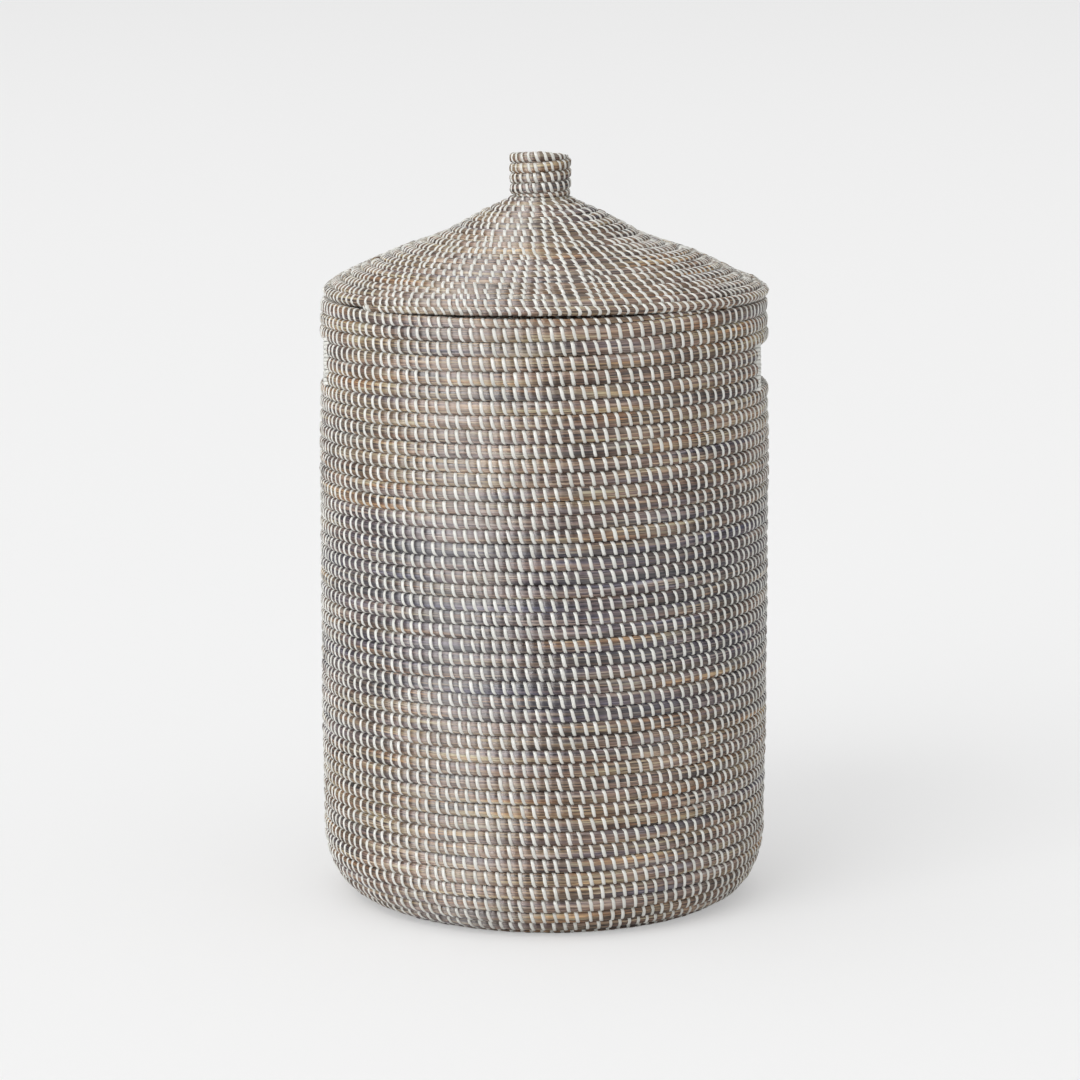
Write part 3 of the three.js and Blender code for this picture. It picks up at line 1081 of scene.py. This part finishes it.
@dataclass
class Lid(Dressed):
    """The lid's cone, its knob, and the ring that drops into the mouth."""

    body: ClassVar[Body] = Body.LID
    rope_slot: ClassVar[Slot] = Slot.LID_ROPE
    pitch: float = 11.2 * MM
    half_height: float = 5.7 * MM
    half_depth: float = 5.6 * MM
    middle: float = 3.0 * MM
    slope: float = 24.2
    edge_slope: float = 45.0
    bend_radius: float = 40.75 * MM
    edge: Pair = (213.96 * MM, 604.1 * MM)
    cone_start: float = 10.55 * MM
    start_turn: float = -0.12
    end_turn: float = 20.389
    taper: float = 0.4655
    least: float = 0.42
    free_turns: float = 0.9
    band_edge: float = 14.5
    slack: Profile = Profile(
        (10.0, 32.0, 88.0, 99.5, 110.7, 122.0, 133.0, 144.0, 189.0, 200.0, 211.5, 222.7),
        (0.0, -5.2, -5.6, -6.6, -3.5, 0.9, 2.8, 4.0, 3.8, 3.1, 2.2, 0.0),
    )
    cone_cord: Cord = Cord(spacing=9.5 * MM, slant=4.2 * MM, drift=0.0, follow=0.3)
    loose_taper: float = 0.732
    plumpness: float = 0.51
    knob_seam: float = 21.75 * MM
    knob_end: float = 1.03
    knob_taper: float = 0.26
    knob_level: float = 0.32
    knob_pitch: float = 10.1 * MM
    knob_rise: float = 0.9 * MM
    knob_sink: float = 4.0 * MM
    knob_cord: Cord = Cord(spacing=8.0 * MM, slant=2.8 * MM)
    cap_sink: float = 3.0 * MM
    cap_start: float = -0.4
    cap_end: float = 1.5
    cap_taper: float = 0.6
    cap_least: float = 0.3
    cap_cord: Cord = Cord(spacing=8.0 * MM, slant=2.4 * MM)
    ring_end: float = 0.3
    ring_inset: float = 1.0 * MM
    ring_cord: Cord = Cord(spacing=11.0 * MM)
    lean: float = 4.0 * MM
    lean_gain: float = 1.2
    tilt: float = 0.0078
    outer_rise: float = 1.7 * MM
    edge_rise: float = 1.2 * MM
    front_lift: float = 1.9 * MM
    front: Sector = Sector(268.0, 65.0)
    corner_drop: float = 2.9 * MM
    corner: Sector = Sector(203.0, 60.0)
    bow: Profile = Profile(
        (30.0, 64.0, 87.0, 97.0, 115.0, 131.0, 149.0, 187.0, 205.0, 218.0),
        (0.0, -1.0, -3.0, -4.2, -2.1, -0.7, 1.0, 0.4, -0.8, -1.0),
    )
    right_sag: Profile = Profile(
        (85.0, 105.0, 130.0, 155.0, 178.0, 198.0, 207.0, 214.0, 224.0),
        (0.0, 2.2, 2.9, 1.9, 2.7, 3.6, 3.6, 2.2, 1.2),
    )
    right: Sector = Sector(18.0, 80.0)
    left_rise: Profile = Profile((170.0, 192.0, 206.0, 218.0, 226.0), (0.0, 1.7, 2.4, 2.0, 0.6))
    left: Sector = Sector(155.0, 48.0)

    def settle(self, points: np.ndarray) -> np.ndarray:
        """Leans the knob, tilts the lid with the rim and bows the cone, as on the real lid.

        Args:
            points: Points as coiled.

        Returns:
            Points as they lie.
        """
        moved = points.copy()
        radius = np.hypot(points[..., 0], points[..., 1])
        share = np.clip(radius / self.edge[0], 0.0, 1.0)
        moved[..., 0] -= self.lean * np.minimum(self.lean_gain * (1.0 - share), 1.0)
        lift = self.edge_rise + self.front_lift * self.front.share(points)
        lift = lift - self.corner_drop * self.corner.share(points)
        moved[..., 2] += lift * last_tenth(share)
        moved[..., 2] += self.tilt * points[..., 0] + self.outer_rise * share
        moved[..., 2] += self.bow.at(radius)
        moved[..., 2] -= self.right_sag.at(radius) * self.right.share(points)
        moved[..., 2] += self.left_rise.at(radius) * self.left.share(points)
        return moved

    def coil(self, seam: SeamLine, **sizes: object) -> Coil:
        """Makes a coil of the lid's rope, with the other fields that are given."""
        usual = {"pitch": self.pitch, "half_height": self.half_height, "half_depth": self.half_depth}
        return Coil(seam=seam, middle=self.middle, warp=self.settle, **(usual | sizes))

    def upright(self, radius: float, span: Pair, pitch: float, level: float, **sizes: object) -> Coil:
        """Makes a coil round an upright ring, level below.

        Args:
            radius: Radius of its seam line.
            span: Its lowest and highest height.
            pitch: Rise of one course.
            level: How far before its end, in turns, the rope first reaches the highest height.
            **sizes: Its other fields, with the end.

        Returns:
            The coil.
        """
        low, high = span
        start = sizes["end_turn"] - level - (high - low - pitch) / pitch - self.loose_taper
        return self.coil(
            SeamLine(straight((radius, low), (radius, high))),
            side=1.0,
            pitch=pitch,
            half_height=self.plumpness * pitch,
            zero_at=0.5 * pitch - pitch * (start + self.loose_taper),
            start_turn=start,
            start_taper=self.loose_taper,
            **sizes,
        )

    def build(self) -> None:
        """Makes every piece of the lid."""
        self.build_cone()
        self.build_knob()
        self.build_cap()
        self.build_ring()

    def build_cone(self) -> None:
        """Makes the cone with its tied end."""
        slope, edge_slope = math.radians(self.slope), math.radians(self.edge_slope)
        radius = self.bend_radius
        reach, level = self.edge
        centre = (reach - radius * math.sin(edge_slope), level - radius * math.cos(edge_slope))
        foot = (centre[0] + radius * math.sin(slope), centre[1] + radius * math.cos(slope))
        top = (self.cone_start, foot[1] + (foot[0] - self.cone_start) * math.tan(slope))
        points = np.concatenate([
            straight(top, foot),
            bend(centre, (radius, radius), 90.0 - self.slope, 90.0 - self.edge_slope),
            np.array([self.edge]),
        ])
        seam = SeamLine(points, self.slack)
        cone = self.coil(
            seam,
            side=-1.0,
            way=Way.CLOCKWISE,
            least=self.least,
            zero_at=seam.distance[-1] - self.pitch * (self.end_turn - self.taper),
            start_turn=self.start_turn,
            end_turn=self.end_turn,
            end_taper=self.taper,
            free_turns=self.free_turns,
            cord=self.cone_cord,
            seed=11,
        )
        edges = np.array([self.start_turn, self.band_edge, self.end_turn])
        for band, span in enumerate(zip(edges, edges[1:]), 1):
            self.add_length(cone, "lid", span, "lid_coil", f"_{band}", cone.knot_clear)
        self.add_cord(cone.knot("lid_knot"))

    def build_knob(self) -> None:
        """Makes the knob's upright courses."""
        low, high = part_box("knob_coil")
        knob = self.upright(
            self.knob_seam,
            (low[2] - self.knob_sink, high[2] + self.knob_rise),
            self.knob_pitch,
            self.knob_level,
            end_turn=self.knob_end,
            end_taper=self.knob_taper,
            cord=self.knob_cord,
            seed=17,
        )
        self.add_whole(knob, "knob", "knob_coil")

    def build_cap(self) -> None:
        """Makes the spiral that closes the knob's top."""
        reach, _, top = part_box("knob_cap")[1]
        level = top - self.middle - self.half_depth - self.cap_sink
        cap = self.coil(
            SeamLine(straight((0.0, level), (2.0 * reach, level))),
            side=-1.0,
            way=Way.CLOCKWISE,
            zero_at=self.half_height,
            start_turn=self.cap_start,
            end_turn=self.cap_end,
            end_taper=self.cap_taper,
            least=self.cap_least,
            cord=self.cap_cord,
            seed=23,
        )
        self.add_whole(cap, "cap", "knob_cap")

    def build_ring(self) -> None:
        """Makes the ring under the cone."""
        low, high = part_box("lid_ring")
        ring = self.upright(
            high[0] - self.half_depth - self.ring_inset - self.middle,
            (low[2], high[2]),
            self.pitch,
            self.loose_taper,
            end_turn=self.ring_end,
            end_taper=self.loose_taper,
            cord=self.ring_cord,
            seed=29,
        )
        self.add_whole(ring, "ring", "lid_ring")


@dataclass
class Studio:
    """The floor, the light and the camera, with azimuths in degrees to the left of the camera."""

    floor_half: float = 120.0
    floor_roughness: float = 0.9
    floor_glow: float = 0.94
    glow_share: float = 0.4
    pale: float = 0.888
    sky: float = 0.255
    sky_side: float = 0.2
    sky_top: float = 0.8
    sky_least: float = 0.08
    sky_azimuth: float = 44.0
    key_light: float = 1.54
    key_azimuth: float = 37.0
    key_size: Pair = (25.0, 40.0)
    sheen_light: float = 18.0
    sheen_azimuth: float = 46.0
    sheen_size: Pair = (38.0, 40.0)
    fill_light: float = 2.6
    fill_azimuth: float = -52.0
    lamp_distance: float = 40.0
    lamp_elevation: float = 30.0
    eye: tuple[float, float, float] = (-0.0042, -3.788, 1.0)
    turn: float = 2.2
    pitch: float = 80.35
    lens: float = 128.0
    sensor: float = 36.0
    far: float = 400.0

    def build(self) -> None:
        """Makes the whole studio."""
        self.build_floor()
        self.build_world()
        self.build_lamps()
        self.build_camera()
        bpy.context.scene.view_settings.view_transform = "Standard"

    def build_floor(self) -> None:
        """Lays a plain pale floor."""
        half = self.floor_half
        mesh = bpy.data.meshes.new("studio_floor")
        corners = [(-half, -half, 0), (half, -half, 0), (half, half, 0), (-half, half, 0)]
        mesh.from_pydata(corners, [], [(0, 1, 2, 3)])
        made = put("studio_floor", mesh)
        shader = Shader("studio_floor")
        shader.fill({
            "Base Color": (self.pale, self.pale, self.pale),
            "Roughness": self.floor_roughness,
            "Specular IOR Level": 0.0,
        })
        glow = shader.node("ShaderNodeEmission", {"Color": (1.0, 1.0, 1.0), "Strength": self.floor_glow})
        share = shader.maths("MULTIPLY", shader.seen(), self.glow_share)
        inputs = {0: share, 1: shader.surface.outputs[0], 2: glow.outputs[0]}
        mixed = shader.node("ShaderNodeMixShader", inputs)
        shader.feed(shader.nodes["Material Output"].inputs["Surface"], mixed.outputs[0])
        mesh.materials.append(shader.material)

    def build_world(self) -> None:
        """Gives soft light, most of it from above and the front left, behind a pale backdrop."""
        world = bpy.data.worlds.new("studio")
        world.use_nodes = True
        tree = Nodes(world.node_tree)
        tree.nodes.clear()
        place = tree.node("ShaderNodeTexCoord", {}).outputs["Generated"]
        inputs = {0: place, 1: (*self.towards(self.sky_azimuth, self.sky_side), self.sky_top)}
        slope = tree.node("ShaderNodeVectorMath", inputs, operation="DOT_PRODUCT").outputs["Value"]
        level = tree.maths("MAXIMUM", tree.maths("ADD", slope, self.sky), self.sky_least)
        light = tree.node("ShaderNodeBackground", {"Color": (1.0, 1.0, 1.0), "Strength": level})
        backdrop = tree.node("ShaderNodeBackground", {"Color": (self.pale, self.pale, self.pale)})
        inputs = {0: tree.seen(), 1: light.outputs[0], 2: backdrop.outputs[0]}
        mixed = tree.node("ShaderNodeMixShader", inputs)
        tree.node("ShaderNodeOutputWorld", {0: mixed.outputs[0]})
        bpy.context.scene.world = world

    def build_lamps(self) -> None:
        """Hangs a soft lamp at the front left, and a wide one on each side that shows only as a sheen."""
        key = self.hang("key", self.key_light, self.key_azimuth, self.key_size)
        key.visible_glossy = False
        sheen = self.hang("sheen", self.sheen_light, self.sheen_azimuth, self.sheen_size)
        sheen.visible_diffuse = False
        fill = self.hang("fill", self.fill_light, self.fill_azimuth, self.sheen_size)
        fill.visible_diffuse = False

    def towards(self, azimuth: float, distance: float) -> Pair:
        """Place at an azimuth and a distance from the hamper's axis."""
        heading = math.radians(self.turn - azimuth)
        return distance * math.sin(heading), -distance * math.cos(heading)

    def hang(self, name: str, light: float, azimuth: float, size: Pair) -> bpy.types.Object:
        """Hangs one lamp that faces the hamper.

        Args:
            name: Name of the lamp.
            light: Light that reaches the hamper.
            azimuth: Where it hangs.
            size: Width and height of the lamp.

        Returns:
            The lamp.
        """
        lamp = bpy.data.lights.new(name, "AREA")
        lamp.shape = "RECTANGLE"
        lamp.size, lamp.size_y = size
        lamp.energy = light * math.pi * self.lamp_distance**2
        made = put(name, lamp)
        rise = math.radians(self.lamp_elevation)
        spot = self.towards(azimuth, self.lamp_distance * math.cos(rise))
        made.location = (*spot, self.lamp_distance * math.sin(rise))
        made.rotation_euler = (math.pi / 2.0 - rise, 0.0, math.radians(self.turn - azimuth))
        return made

    def build_camera(self) -> None:
        """Sets the camera where the photograph was taken from."""
        camera = bpy.data.cameras.new("camera")
        camera.lens = self.lens
        camera.sensor_width = self.sensor
        camera.clip_end = self.far
        made = put("camera", camera)
        heading = math.radians(self.turn)
        sine, cosine = math.sin(heading), math.cos(heading)
        x, y, z = self.eye
        made.location = (x * cosine - y * sine, x * sine + y * cosine, z)
        made.rotation_euler = (math.radians(self.pitch), 0.0, heading)
        bpy.context.scene.camera = made


def finishes() -> tuple[Material, Material, Material]:
    """Makes the three finishes.

    Returns:
        The basket's rope, the lid's rope and the cord.
    """
    wall_bands = (
        (0.0, 0.14),
        (0.3, 0.22),
        (0.38, 0.74),
        (0.53, 0.8),
        (0.66, 0.72),
        (0.74, 0.25),
        (0.88, 0.08),
        (1.0, 0.15),
    )
    lid_bands = ((0.0, 0.12), (1.0, 0.18))
    basket = Seagrass("seagrass_basket", wall_bands, lowest=0.0, highest=0.6)
    lid = Seagrass("seagrass_lid", lid_bands, lowest=0.59, highest=0.75, gloss=0.52)
    cord = PlasticCord("white_cord")
    return basket.material(), lid.material(), cord.material()


def main() -> None:
    """Builds the hamper and its studio in order."""
    logging.basicConfig(level=logging.INFO, format="%(name)s: %(message)s")
    basket_rope, lid_rope, cord = finishes()
    Studio().build()
    Basket(basket_rope, cord).build()
    Lid(lid_rope, cord).build()


if __name__ == "__main__":
    main()
